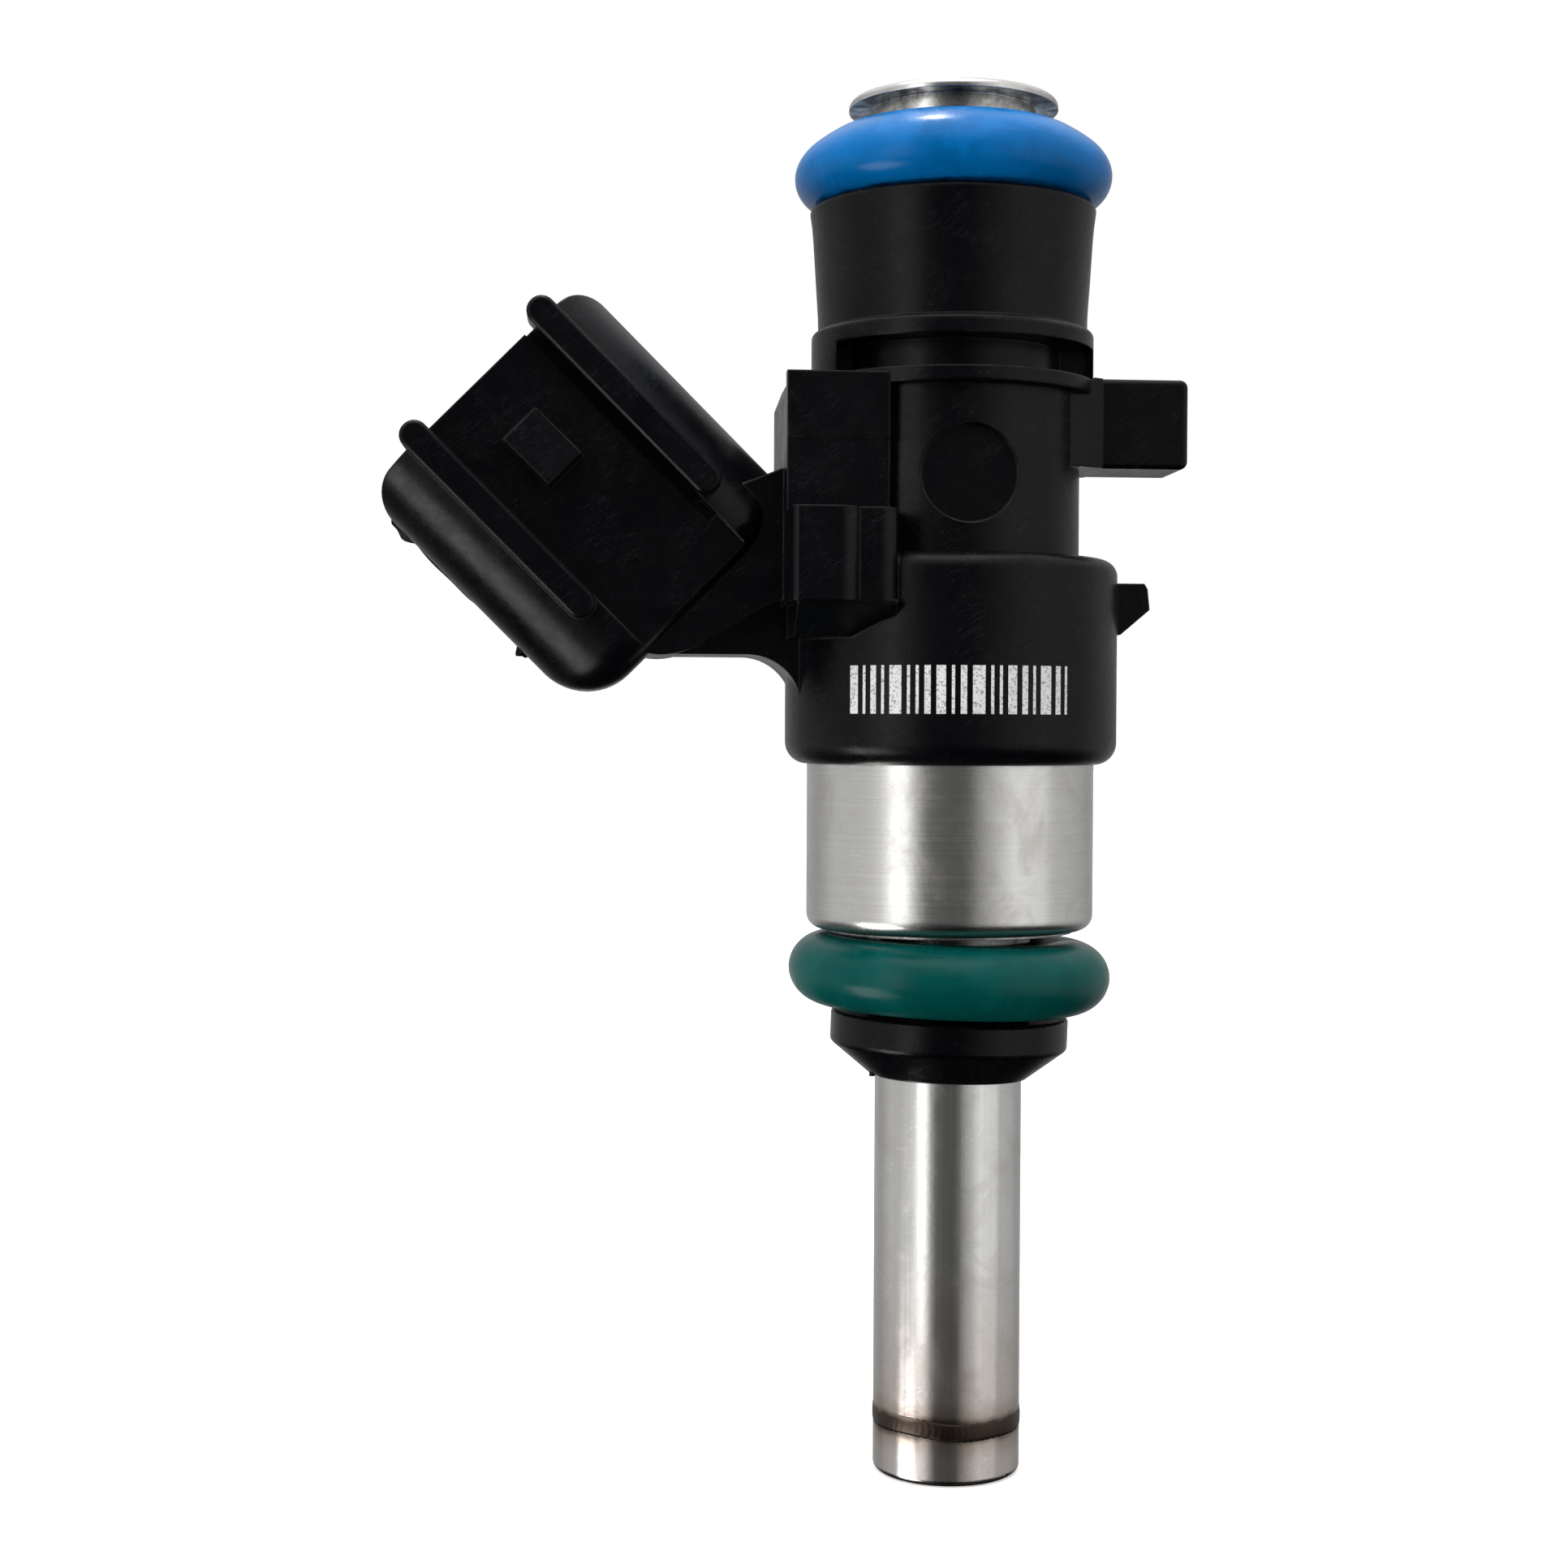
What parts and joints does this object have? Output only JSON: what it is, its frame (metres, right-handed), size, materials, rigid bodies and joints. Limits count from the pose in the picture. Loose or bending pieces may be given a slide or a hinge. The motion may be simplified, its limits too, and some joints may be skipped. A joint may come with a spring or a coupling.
{
  "type": "fuel injector",
  "caption": "Electromagnetic port fuel injector with a slanted oval plug socket, brushed steel can, long valve tube and two rubber seal rings.",
  "frame": {"origin": "centre of the spray tip's end, on the injector's axis", "axes": "+Z along the axis from the tip to the fuel inlet, -X towards the electrical connector, -Y the printed front"},
  "size_m": [0.0362, 0.0164, 0.0628],
  "materials": {
    "black_plastic": "satin, fine grain",
    "ring_plastic": "satin",
    "blue_rubber": "satin",
    "green_rubber": "satin",
    "tube_steel": "drawn",
    "pot_steel": "turned and brushed",
    "magnet_steel": "turned",
    "spring_steel": "drawn wire",
    "hard_chrome": "polished",
    "tinned_brass": "tin plated",
    "brass": "bright",
    "copper": "enamelled wire",
    "bobbin_plastic": "moulded",
    "filter_gauze": "woven"
  },
  "bodies": {
    "housing": {"body_overmould": "black_plastic", "upper_o_ring": "blue_rubber", "lower_o_ring": "green_rubber", "inlet_tube": "tube_steel", "magnet_pot": "pot_steel", "nozzle_tube": "tube_steel", "support_ring": "ring_plastic", "flux_washer": "magnet_steel", "coil_bobbin": "bobbin_plastic", "coil_winding": "copper", "coil_leads": "copper", "terminal_pin_upper": "tinned_brass", "terminal_pin_lower": "tinned_brass", "pole_core": "magnet_steel", "adjusting_sleeve": "brass", "return_spring": "spring_steel", "seat_body": "magnet_steel", "orifice_disc": "tube_steel", "filter_frame": "bobbin_plastic", "filter_mesh": "filter_gauze", "filter_ring": "brass"},
    "needle": {"armature": "magnet_steel", "armature_stop_ring": "hard_chrome", "needle_tube": "tube_steel", "valve_ball": "hard_chrome"}
  },
  "joints": [
    {"name": "needle_lift", "type": "slide", "parent": "housing", "child": "needle", "axis": [0, 0, 1], "range_m": [0, 0.00008], "stiffness_N_per_m": 200, "springref_m": -0.001, "deforming": ["return_spring"]}
  ]
}
